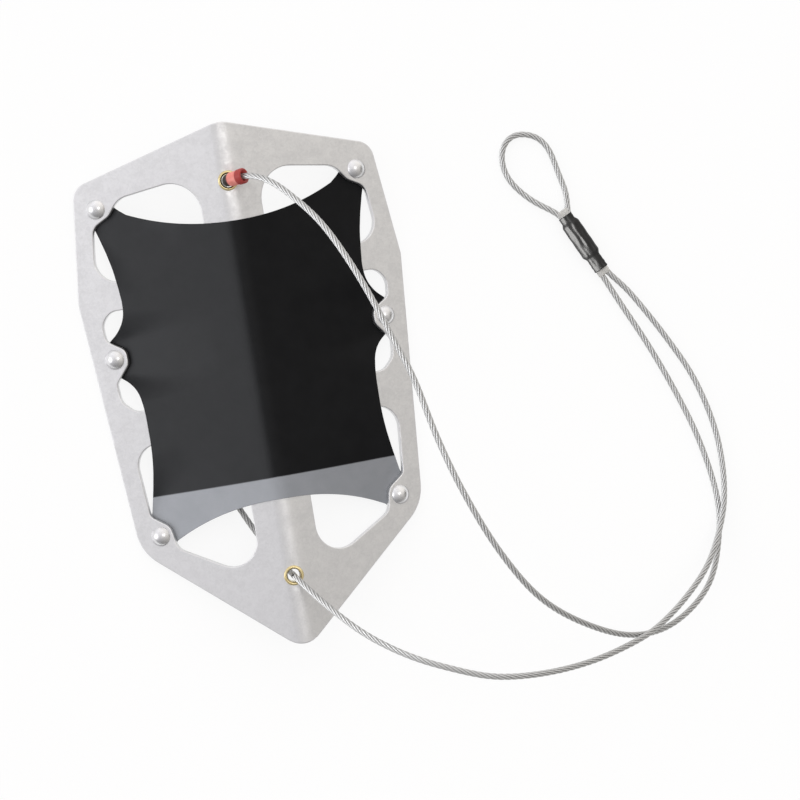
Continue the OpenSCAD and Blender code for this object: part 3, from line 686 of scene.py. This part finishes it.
# Black cloth with a grey lower band, whose edge drops a little toward the sides, and a fine weave.
coated_cloth, tree, shader = plain_material("coated_cloth")
laid_flat = add_node(tree, "ShaderNodeUVMap", uv_map="flat").outputs["UV"]
flat_part = add_node(tree, "ShaderNodeSeparateXYZ", {0: laid_flat}).outputs
band_edge = maths(tree, "MULTIPLY_ADD", maths(tree, "ABSOLUTE", flat_part["X"]), 0.03, 0.485)
band = stretch(tree, maths(tree, "ADD", band_edge, flat_part["Y"]), (0.003, -0.003))
haze = noise(tree, 9.0, 5.0, 0.6, laid_flat)
black = ramp(tree, haze, (0.35, (0.0050, 0.0051, 0.0056)), (0.68, (0.0066, 0.0067, 0.0073)))
grey = ramp(tree, haze, (0.35, (0.213, 0.221, 0.234)), (0.68, (0.231, 0.238, 0.252)))
weave = []
for turn in (0, 90):
    crosswise = add_node(tree, "ShaderNodeMapping", {
        "Vector": laid_flat, "Rotation": (0, 0, math.radians(turn))}).outputs["Vector"]
    weave.append(add_node(tree, "ShaderNodeTexWave", {
        "Vector": crosswise, "Scale": 40.0, "Distortion": 0.6, "Detail": 1.0}).outputs["Fac"])
set_inputs(tree, shader, {
    "Base Color": mix_colours(tree, band, black, grey), "Roughness": 0.36, "Specular IOR Level": 0.09,
    "Normal": dents(tree, maths(tree, "MAXIMUM", *weave), 0.0001, 0.12)})
panel.data.materials.append(coated_cloth)
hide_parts("deck_panel")
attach(panel, "fluke")

# Rivets. Six solid aluminium rivets with domed heads, one through each tab. Behind the panel
# each is upset over a plain washer. One rivet is turned, and nodes set it at every tab.
shank_r = 2.4
head_r, head_rise, head_top = 5.15, 2.75, 2.9
washer_t = 0.8
washer_top = -plate_t - gap - panel_t - gap
tail_top = washer_top - washer_t - gap


def turned(name, profile, sides=48):
    """A turned shape about +Z from a profile of (radius, height) points; a zero radius closes an end."""
    mesh = bmesh.new()
    rings = []
    for r, h in profile:
        if r < 1e-6:
            rings.append([mesh.verts.new((0, 0, h * MM))])
        else:
            rings.append([mesh.verts.new((r * MM * math.cos(math.tau * k / sides),
                                          r * MM * math.sin(math.tau * k / sides), h * MM))
                          for k in range(sides)])
    for a, b in zip(rings, rings[1:]):
        for k in range(sides):
            j = (k + 1) % sides
            corners = [a[k % len(a)], a[j % len(a)], b[j % len(b)], b[k % len(b)]]
            mesh.faces.new(list(dict.fromkeys(corners)))
    if len(rings[0]) > 1 and len(rings[-1]) > 1:
        for k in range(sides):
            j = (k + 1) % sides
            mesh.faces.new([rings[-1][k], rings[-1][j], rings[0][j], rings[0][k]])
    for f in mesh.faces:
        f.smooth = True
    return finished(mesh, name)


setting_tree = bpy.data.node_groups.new("set_in_place", "GeometryNodeTree")
add_sockets(setting_tree, "INPUT", ("Places", "Geometry"), ("Piece", "Object"), ("Finish", "Material"))
add_sockets(setting_tree, "OUTPUT", ("Set", "Geometry"))
given = add_node(setting_tree, "NodeGroupInput").outputs
one = add_node(setting_tree, "GeometryNodeObjectInfo", {"Object": given["Piece"]}).outputs["Geometry"]
upright = add_node(setting_tree, "GeometryNodeInputNamedAttribute", {"Name": "upright"},
                   data_type="FLOAT_VECTOR").outputs[0]
lean = add_node(setting_tree, "FunctionNodeAlignRotationToVector", {"Vector": upright}, axis="Z").outputs[0]
several = add_node(setting_tree, "GeometryNodeInstanceOnPoints", {
    "Points": given["Places"], "Instance": one, "Rotation": lean}).outputs[0]
several = add_node(setting_tree, "GeometryNodeRealizeInstances", {"Geometry": several}).outputs[0]
several = add_node(setting_tree, "GeometryNodeSetMaterial", {
    "Geometry": several, "Material": given["Finish"]}).outputs[0]
add_node(setting_tree, "NodeGroupOutput", {0: several})


def set_copies(name, data, places, finish):
    """Copies of a piece at (place, direction) pairs, as one plain mesh."""
    pattern = put_in_scene(name + "_pattern", data)
    mesh = bpy.data.meshes.new(name)
    mesh.from_pydata([p for p, d in places], [], [])
    upright = mesh.attributes.new("upright", "FLOAT_VECTOR", "POINT")
    upright.data.foreach_set("vector", [x for p, d in places for x in d])
    copies = put_in_scene(name, mesh)
    keep_result(copies, setting_tree, Piece=pattern, Finish=finish)
    bpy.data.objects.remove(pattern)
    return copies


rivet_places = []
for way in (1, -1):
    for u, y in (tab_upper, tab_middle, tab_lower):
        foot = folded(way * u, y, 0)
        rivet_places.append((foot, (folded(way * u, y, 1) - foot).normalized()))
dome_r = (head_r ** 2 + head_rise ** 2) / (2 * head_rise)
head = [(0, head_top)]
for i in range(1, 13):
    a = math.asin(head_r / dome_r) * i / 12
    head.append((dome_r * math.sin(a), head_top - dome_r * (1 - math.cos(a))))
head += [(5.2, 0.1), (5.1, gap), (shank_r, gap)]
tail = [(shank_r, tail_top), (3.2, tail_top), (3.5, tail_top - 0.25), (3.45, tail_top - 0.6),
        (3.0, tail_top - 0.84), (1.6, tail_top - 0.9), (0, tail_top - 0.9)]
rivet_aluminium = tumbled_metal("rivet_aluminium", (0.72, 0.72, 0.73), (0.82, 0.82, 0.825), 0.27, patch=220.0)
rivets = set_copies("rivets", turned("rivet", head + tail), rivet_places, rivet_aluminium)
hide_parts(*["rivet_%s_%s" % (s, l) for s in ("left", "right")
                      for l in ("upper", "middle", "lower")])
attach(rivets, "fluke")

washer_profile = [
    (2.45, washer_top - 0.1), (2.6, washer_top), (4.75, washer_top), (5.0, washer_top - 0.25),
    (5.0, washer_top - 0.55), (4.75, washer_top - washer_t), (2.6, washer_top - washer_t),
    (2.45, washer_top - 0.7)]
washer_aluminium = tumbled_metal("washer_aluminium", (0.66, 0.66, 0.67), (0.78, 0.78, 0.785), 0.4,
                                 patch=160.0)
washers = set_copies("backing_washers", turned("backing_washer", washer_profile), rivet_places,
                     washer_aluminium)
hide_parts(*["washer_%s_%s" % (s, l) for s in ("left", "right")
                       for l in ("upper", "middle", "lower")])
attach(washers, "fluke")

# Grommets. Two brass eyelets on the crease, pressed into flats: a barrel whose front rim is
# rolled over to a smooth ring, and whose back end is rolled over a flat brass washer.
bore_r = 3.3
barrel_t = 0.5
rim_r = 0.9
rim_ring = 4.35
rim_z = ridge + gap
roll_r, roll_off = 0.7, 0.72
ring_t = 0.8
ring_top = ridge - plate_t - gap
end_z = ring_top - ring_t - gap
eyelet_profile = [(bore_r, end_z - roll_r)]
for i in range(13):
    a = math.radians(180 - 235 * i / 12)
    eyelet_profile.append((rim_ring + rim_r * math.cos(a), rim_z + rim_r * math.sin(a)))
eyelet_profile += [(rim_ring - 0.25, rim_z - 0.55), (bore_r + barrel_t, rim_z - 0.4),
                   (bore_r + barrel_t, end_z)]
for i in range(9):
    a = math.radians(90 - 270 * i / 8)
    eyelet_profile.append((bore_r + roll_off + roll_r * math.cos(a), end_z - roll_off + roll_r * math.sin(a)))
up_way = (set_down(0, 0, 1) - set_down(0, 0, 0)).normalized()
grommet_spots = [(set_down(0, gy, 0), up_way) for gy in grommet_places]
grommet_brass = tumbled_metal("grommet_brass", (0.68, 0.55, 0.26), (0.83, 0.71, 0.42), 0.26, patch=260.0)
eyelets = set_copies("eyelets", turned("eyelet", eyelet_profile, 56), grommet_spots, grommet_brass)
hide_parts("grommet_upper", "grommet_lower")
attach(eyelets, "fluke")

ring_profile = [
    (grommet_hole_r, ring_top), (5.4, ring_top), (5.6, ring_top - 0.2), (5.6, ring_top - 0.6),
    (5.4, ring_top - ring_t), (grommet_hole_r, ring_top - ring_t)]
ring_brass = tumbled_metal("ring_brass", (0.60, 0.46, 0.16), (0.73, 0.59, 0.26), 0.34, patch=260.0)
eyelet_rings = set_copies("eyelet_washers", turned("eyelet_washer", ring_profile, 56), grommet_spots,
                          ring_brass)
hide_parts("grommet_upper_washer", "grommet_lower_washer")
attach(eyelet_rings, "fluke")

# Stop sleeve. A red sleeve pressed on the end of the rope: a ball end that rocks in the upper grommet,
# coloured near black as painted shade for the grommet's bore, a barrel marked by the press, and a darker
# collar with a flared mouth.
pivot = Vector((0, 106.918, 37.286)) * MM
stop_rise, stop_turn = math.radians(38), math.radians(5)
barrel_from, barrel_to, barrel_off = 1.8, 6.2, 0.08
flute_count, flute_depth, flute_fade = 8, 0.045, 0.8
stop_profile = [
    (0, -3.2), (1.1, -3.0), (2.05, -2.46), (2.77, -1.6), (3.15, -0.56), (3.18, 0.35), (3.05, 0.95),
    (3.2, 1.15), (3.4, 1.4), (3.65, 1.9), (3.75, 2.7), (3.75, 3.5), (3.75, 4.3), (3.75, 5.1), (3.75, 5.8),
    (3.66, 6.2), (3.72, 6.5), (3.9, 6.75), (4.02, 7.1), (4.05, 7.5), (4.05, 8.6), (4.05, 9.6),
    (4.0, 10.05), (3.8, 10.4), (3.45, 10.5), (3.1, 10.35), (2.5, 9.6), (2.0, 8.8), (1.68, 8.2),
    (1.68, 1.6), (0, 1.6)]
stop_data = turned("stop", stop_profile, 64)
for v in stop_data.vertices:
    r, z = math.hypot(v.co.x, v.co.y), v.co.z / MM
    if barrel_from < z < barrel_to and r > 3.0 * MM:
        fade = min(1, (z - barrel_from) / flute_fade, (barrel_to - z) / flute_fade)
        flute = 0.5 + 0.5 * math.cos(flute_count * math.atan2(v.co.y, v.co.x))
        v.co.xy *= 1 - flute_depth * fade * flute
    v.co.x -= barrel_off * MM * min(1, max(0, z - 0.9))
for mark, first, last in (("collar", 6.2, 6.7), ("ball", 1.1, 0.9)):
    values = [min(1, max(0, (v.co.z / MM - first) / (last - first))) for v in stop_data.vertices]
    stop_data.attributes.new(mark, "FLOAT", "POINT").data.foreach_set("value", values)
stop_data.transform(Matrix.Translation(pivot) @ Matrix.Rotation(stop_turn, 4, "Z")
                    @ Matrix.Rotation(math.pi / 2 - stop_rise, 4, "Y"))
stop = put_in_scene("stop", stop_data)
stop_red, tree, shader = plain_material("stop_red")
stop_tint = ramp(tree, noise(tree, 420.0, 4.0, 0.6), (0.35, (0.82, 0.24, 0.20)), (0.7, (0.92, 0.33, 0.28)))
# The ball's near-black colour is painted shade, standing in for the dark inside of the upper grommet.
for mark, tint in (("collar", (0.40, 0.038, 0.033, 1)), ("ball", (0.012, 0.007, 0.004, 1))):
    stop_tint = mix_colours(tree, stored(tree, mark), stop_tint, tint)
set_inputs(tree, shader, {"Base Color": stop_tint, "Roughness": 0.42})
stop_data.materials.append(stop_red)
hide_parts("stop_sleeve")
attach(stop, "bridle")

# Swaged joint. An oval aluminium sleeve clamps the two strands, a clear soft liner fills the
# ends, and a glossy black heat-shrink cover is drawn down over all of it.
joint_middle = Vector((186, 46.5, 3.5)) * MM
joint_turn = math.radians(-64)
joint_place = Matrix.Translation(joint_middle) @ Matrix.Rotation(joint_turn, 4, "Z")
cover_half, cover_t, cover_steps = 17.5, 0.38, 70
neck_w, neck_h, body_w, body_h = 4.0, 2.45, 5.1, 3.36
body_from, body_to, body_slope = -14.2, 9.6, 2.6


def oval_loft(name, groups, sides=72):
    """Closed bodies along +X through (place, half width, half height, groove, crumple) ovals.
    A tube's last ring joins its first; a plug is closed by its end faces."""
    mesh = bmesh.new()
    for plug, stations in groups:
        rings = []
        for x, w, h, groove, crumple in stations:
            ring = []
            for k in range(sides):
                a = math.tau * k / sides
                y = w * math.cos(a)
                z = h * math.sin(a) * (1 - groove * math.exp(-(y / 0.8) ** 2))
                if z > 0:
                    fold_at = math.sin(1.9 * y + 0.10 * x + 0.9) + 0.5 * math.sin(2.7 * y - 0.31 * x)
                    fold_at += 0.7 * math.sin(0.55 * x + 1.2 * y)
                    seam = 1.8 * math.exp(-((y - 0.3) / 0.6) ** 2)
                    z += crumple * math.sin(a) * (1.5 + fold_at + seam)
                ring.append(mesh.verts.new((x * MM, y * MM, z * MM)))
            rings.append(ring)
        if plug:
            mesh.faces.new(rings[0])
            mesh.faces.new(rings[-1])
        else:
            rings.append(rings[0])
        for a, b in zip(rings, rings[1:]):
            for k in range(sides):
                j = (k + 1) % sides
                mesh.faces.new([a[k], b[k], b[j], a[j]])
    for f in mesh.faces:
        f.smooth = len(f.verts) == 4
    data = finished(mesh, name)
    data.transform(joint_place)
    return put_in_scene(name, data)


cover_stations = []
for i in range(cover_steps + 1):
    x = -cover_half + 2 * cover_half * i / cover_steps
    rise = eased(min((x - body_from) / body_slope, (body_to - x) / body_slope))
    lip = 0.14 * math.exp(-((abs(x) - 17.1) / 0.5) ** 2)
    pucker = 0.07 * math.sin(x * 2.3) * (1 - rise) + 0.05 * math.sin(x * 0.9 + 1)
    cover_stations.append((x, neck_w + (body_w - neck_w) * rise + lip + pucker,
                           neck_h + (body_h - neck_h) * rise + lip * 0.6, 0.03, 0.08 + 0.06 * rise))
inner_stations = [(x, w - cover_t, h - cover_t, 0, 0) for x, w, h, _, _ in cover_stations[::-1]]
cover = oval_loft("shrink_tube", [(False, cover_stations + inner_stations)])
shrink_black, tree, shader = plain_material("shrink_black")
skin = noise(tree, 260.0, 3.0, 0.55)
set_inputs(tree, shader, {
    "Base Color": ramp(tree, skin, (0, (0.0035, 0.0035, 0.0036)), (1, (0.007, 0.007, 0.0072))),
    "Roughness": stretch(tree, skin, (0, 1), (0.30, 0.44)), "Specular IOR Level": 0.26,
    "Normal": dents(tree, skin, 0.0004, 0.7)})
cover.data.materials.append(shrink_black)
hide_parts("shrink_cover")
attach(cover, "bridle")

leg_end = [(15.0, 3.5, 1.85, 0.2, 0), (17.0, 3.55, 1.9, 0.2, 0), (19.4, 3.62, 1.92, 0.3, 0.04),
           (20.6, 3.58, 1.88, 0.4, 0.06), (21.0, 3.35, 1.72, 0.45, 0.06)]
eye_end = [(-15.0, 3.5, 1.85, 0.2, 0), (-17.0, 3.55, 1.9, 0.2, 0), (-19.0, 3.75, 1.85, 0.3, 0.04),
           (-20.5, 3.75, 1.7, 0.4, 0.06), (-20.9, 3.5, 1.5, 0.45, 0.06)]
liner = oval_loft("shrink_adhesive", [(True, leg_end), (True, eye_end)])
liner_clear, tree, shader = plain_material("liner_clear")
milky = ramp(tree, noise(tree, 300.0, 3.0, 0.5), (0, (0.74, 0.735, 0.70)), (1, (0.90, 0.895, 0.87)))
set_inputs(tree, shader, {"Base Color": milky, "Roughness": 0.32, "Transmission Weight": 0.3})
liner.data.materials.append(liner_clear)
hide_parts("shrink_liner")
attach(liner, "bridle")

swage_aluminium = tumbled_metal("swage_aluminium", (0.62, 0.62, 0.63), (0.76, 0.76, 0.765), 0.38, patch=200.0)
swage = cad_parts["swage_sleeve"]
swage.data.materials.clear()
swage.data.materials.append(swage_aluminium)

# Table and light. A plain white table that keeps a soft shadow, an even white room, and four
# soft lamps on the left, each of which lights only the dark or shiny pieces it is linked to.
table_half = 6
table_glow, glow_share = 1.04, 0.82
table_data = bpy.data.meshes.new("table")
table_data.from_pydata([(-table_half, -table_half, 0), (table_half, -table_half, 0),
                        (table_half, table_half, 0), (-table_half, table_half, 0)], [], [(0, 1, 2, 3)])
floor = put_in_scene("table", table_data)
table_white, tree, shader = plain_material("table_white")
tree.nodes.remove(shader)
matt = add_node(tree, "ShaderNodeBsdfDiffuse", {"Color": (0.9, 0.9, 0.9, 1)})
glow = add_node(tree, "ShaderNodeEmission", {"Color": (1, 1, 1, 1), "Strength": table_glow})
rays = add_node(tree, "ShaderNodeLightPath").outputs
seen_by = maths(tree, "MAXIMUM", rays["Is Camera Ray"], rays["Is Glossy Ray"])
seen_by = maths(tree, "MAXIMUM", seen_by, rays["Is Transmission Ray"])
mixed = add_node(tree, "ShaderNodeMixShader", {
    0: maths(tree, "MULTIPLY", seen_by, glow_share), 1: matt.outputs[0], 2: glow.outputs[0]})
set_inputs(tree, tree.nodes["Material Output"], {"Surface": mixed.outputs[0]})
table_data.materials.append(table_white)

# The room is cool on the left and warm on the right, with a brighter patch overhead that the crease
# shows, a darker place low on the right, and a window low on the left, which the rivets show.
# Each is given by its direction, its outer and inner angle from there and what it adds.
room_level, room_least = 0.775, 0.3
room_slope = (0.018, 0.5, 0)
room_spots = (((0.2, 0.14, 0.97), 15, 7, 1.5), ((1, -0.1, 0.05), 34, 12, -0.5),
              ((-0.93, 0.05, 0.36), 26, 8, 1.4))
world = bpy.data.worlds.new("room")
bpy.context.scene.world = world
world.use_nodes = True
tree = world.node_tree
room = tree.nodes["Background"]
toward = add_node(tree, "ShaderNodeTexCoord").outputs["Generated"]
warm = stretch(tree, add_node(tree, "ShaderNodeSeparateXYZ", {0: toward}).outputs["X"], (-0.6, 0.7))
bright = vector_maths(tree, "DOT_PRODUCT", {0: toward, 1: room_slope})
bright = maths(tree, "ADD", bright, room_level)
for heading, outer, inner, gain in room_spots:
    near = vector_maths(tree, "DOT_PRODUCT", {0: toward, 1: Vector(heading).normalized()})
    near = stretch(tree, near, (math.cos(math.radians(outer)), math.cos(math.radians(inner))),
                   interpolation_type="SMOOTHSTEP")
    bright = maths(tree, "MULTIPLY_ADD", near, gain, bright)
set_inputs(tree, room, {
    "Color": ramp(tree, warm, (0, (0.985, 0.975, 1.0)), (1, (1.0, 0.965, 0.92))),
    "Strength": maths(tree, "MAXIMUM", bright, room_least)})
white = add_node(tree, "ShaderNodeBackground", {"Color": (1, 1, 1, 1), "Strength": 1.0})
rays = add_node(tree, "ShaderNodeLightPath").outputs
mixed = add_node(tree, "ShaderNodeMixShader", {
    0: rays["Is Camera Ray"], 1: room.outputs[0], 2: white.outputs[0]})
set_inputs(tree, tree.nodes["World Output"], {"Surface": mixed.outputs[0]})

ropes = (upper_leg, lower_leg, eye_loop)
sky, lamp_white = (0.94, 0.96, 1.0), (1.0, 0.99, 0.97)
lamp_aim = Vector((0, 0, 0.02))
for name, place, wide, high, power, hue, lit_pieces in (
        ("left_high_lamp", (-1.1, -0.1, 1.66), 1.2, 1.2, 25.0, sky, (panel,)),
        ("left_low_lamp", (-1.45, -0.1, 0.75), 2.4, 0.8, 38.0, sky, (panel,)),
        ("rope_lamp", (-1.4, 0.0, 0.8), 1.1, 1.1, 18.0, sky, ropes),
        ("joint_lamp", (-0.78, -0.42, 0.60), 1.6, 1.6, 180.0, lamp_white, (cover,))):
    lamp = bpy.data.lights.new(name, "AREA")
    lamp.shape = "RECTANGLE"
    lamp.size = wide
    lamp.size_y = high
    lamp.energy = power
    lamp.color = hue
    holder = put_in_scene(name, lamp)
    holder.location = place
    holder.rotation_euler = (lamp_aim - holder.location).to_track_quat("-Z", "Y").to_euler()
    holder.visible_diffuse = name != "left_low_lamp"
    lit = bpy.data.collections.new(name + "_lights")
    for piece in lit_pieces:
        lit.objects.link(piece)
    holder.light_linking.receiver_collection = lit

bpy.context.scene.view_settings.view_transform = "Standard"
